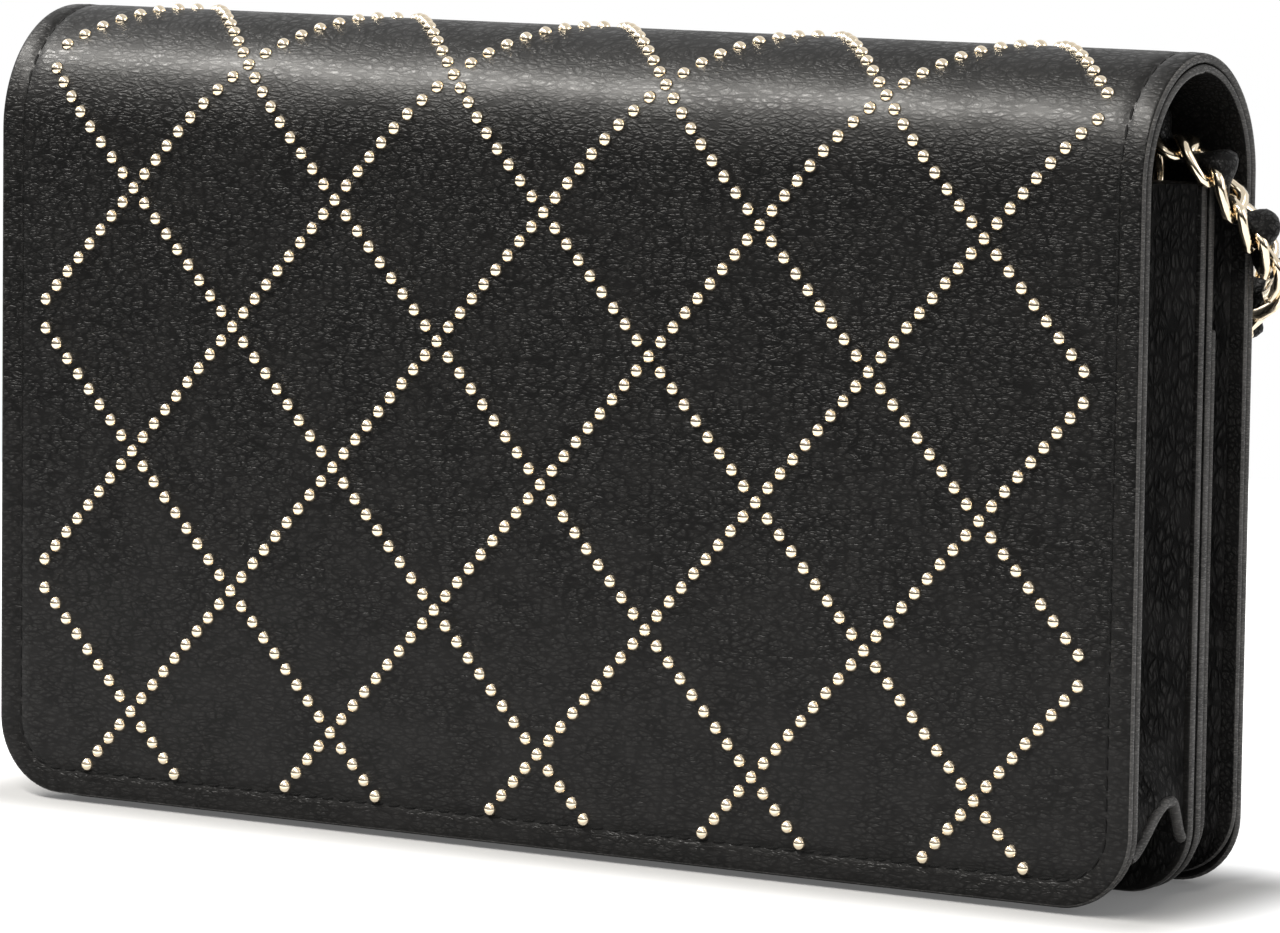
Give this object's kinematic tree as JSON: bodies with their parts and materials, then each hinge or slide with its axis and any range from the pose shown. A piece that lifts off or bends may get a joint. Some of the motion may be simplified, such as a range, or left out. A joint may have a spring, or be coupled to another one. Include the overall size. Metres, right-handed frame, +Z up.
{
  "type": "chain wallet",
  "caption": "Flap wallet in fine-grained black leather with a studded diamond lattice, gusseted compartments, card slots and a chain shoulder strap laced with leather.",
  "frame": {"origin": "under the middle of the wallet, at the height of the surface it stands on", "axes": "+X to the right seen from the front, the front of the flap faces -Y, +Z up"},
  "size_m": [0.2145, 0.1205, 0.1198],
  "materials": {
    "leather_black": "fine-grained, semi-gloss",
    "leather_edge": "smooth lining leather, satin",
    "lining_fabric": "woven grosgrain",
    "board": "matt",
    "gold": "polished, pale gold",
    "zip_fabric": "woven tape",
    "strap_mix": "gold links with a black leather lace"
  },
  "bodies": {
    "body": {"back_panel": "leather_black", "back_lining": "lining_fabric", "rear_pocket": "leather_black", "divider_front": "leather_black", "divider_board": "board", "divider_rear": "leather_black", "divider_slip_pocket": "leather_black", "card_backing": "leather_edge", "card_slot_left_1": "leather_black", "card_slot_left_2": "leather_black", "card_slot_left_3": "leather_black", "card_slot_right_1": "leather_black", "card_slot_right_2": "leather_black", "card_slot_right_3": "leather_black", "gusset_front_left": "leather_black", "gusset_front_right": "leather_black", "gusset_rear_left": "leather_black", "gusset_rear_right": "leather_black", "floor_front": "leather_edge", "floor_rear": "leather_edge", "eyelet_left": "gold", "eyelet_right": "gold", "strap_right": "strap_mix", "strap_left": "strap_mix", "strap_coil": "strap_mix"},
    "flap_top": {"flap_top_outer": "leather_black", "flap_top_lining": "leather_edge", "flap_top_studs": "gold"},
    "flap_front": {"flap_outer": "leather_black", "flap_lining": "leather_edge", "flap_studs": "gold", "zip_pocket_bag": "lining_fabric", "zip_tape": "zip_fabric", "zip_teeth": "gold", "zip_stops": "gold", "snap_post": "gold"},
    "zip_slider": {"zip_slider": "gold"},
    "zip_puller": {"zip_puller": "gold"},
    "front": {"front_panel": "leather_black", "front_lining": "lining_fabric", "snap_socket": "gold"},
    "ring_right": {"strap_ring_right": "gold"},
    "ring_left": {"strap_ring_left": "gold"}
  },
  "joints": [
    {"name": "flap_rear_bend", "type": "hinge", "parent": "body", "child": "flap_top", "pos_m": [0, 0.01489, 0.11111], "axis": [-1, 0, 0], "range_deg": [0, 90]},
    {"name": "flap_front_bend", "type": "hinge", "parent": "flap_top", "child": "flap_front", "pos_m": [0, -0.01489, 0.11111], "axis": [-1, 0, 0], "range_deg": [0, 90]},
    {"name": "front_gape", "type": "hinge", "parent": "body", "child": "front", "pos_m": [0, -0.0141, 0.0008], "axis": [1, 0, 0], "range_deg": [0, 12]},
    {"name": "zip_slide", "type": "slide", "parent": "flap_front", "child": "zip_slider", "axis": [1, 0, 0], "range_m": [0, 0.12]},
    {"name": "zip_puller_swing", "type": "hinge", "parent": "zip_slider", "child": "zip_puller", "pos_m": [-0.06, -0.0112, 0.104], "axis": [0, 0.2588, 0.9659], "range_deg": [0, 50]},
    {"name": "ring_right_swing", "type": "hinge", "parent": "body", "child": "ring_right", "pos_m": [0.083, 0.0062, 0.0954], "axis": [1, 0, 0], "range_deg": [-10, 10]},
    {"name": "ring_left_swing", "type": "hinge", "parent": "body", "child": "ring_left", "pos_m": [-0.083, 0.0062, 0.0954], "axis": [1, 0, 0], "range_deg": [-10, 10]}
  ],
  "couplings": [
    {"joint": "flap_front_bend", "follows": "flap_rear_bend", "ratio": 1},
    {"joint": "front_gape", "follows": "flap_rear_bend", "ratio": 0.13}
  ]
}
